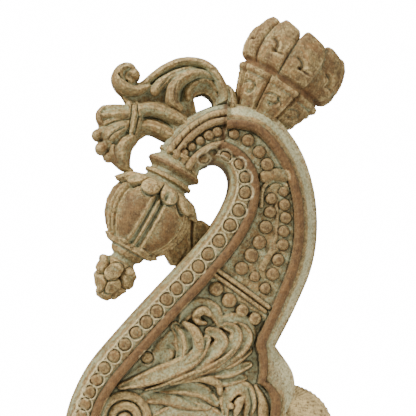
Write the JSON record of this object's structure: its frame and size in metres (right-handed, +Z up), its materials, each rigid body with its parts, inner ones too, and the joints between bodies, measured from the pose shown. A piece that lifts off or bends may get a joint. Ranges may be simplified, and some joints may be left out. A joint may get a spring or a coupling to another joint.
{
  "type": "carved bracket",
  "caption": "Swan-necked carved wooden bracket with a crown of leaves, a curled leaf, a flower and a hanging bud on its arched arm, sawn flat at the foot.",
  "frame": {"origin": "on the sawn base, under the middle of the strut's depth", "axes": "+Z up along the strut, +X to the right of the carved face, -Y out of the carved face"},
  "size_m": [0.4241, 0.1178, 0.6629],
  "materials": {
    "neck_wood": "weathered, with worn pale green paint in the hollows",
    "arm_wood": "weathered, with worn pale green paint in the hollows"
  },
  "bodies": {
    "root": {"crowned_neck": "neck_wood", "bud_arm": "arm_wood"}
  },
  "joints": []
}
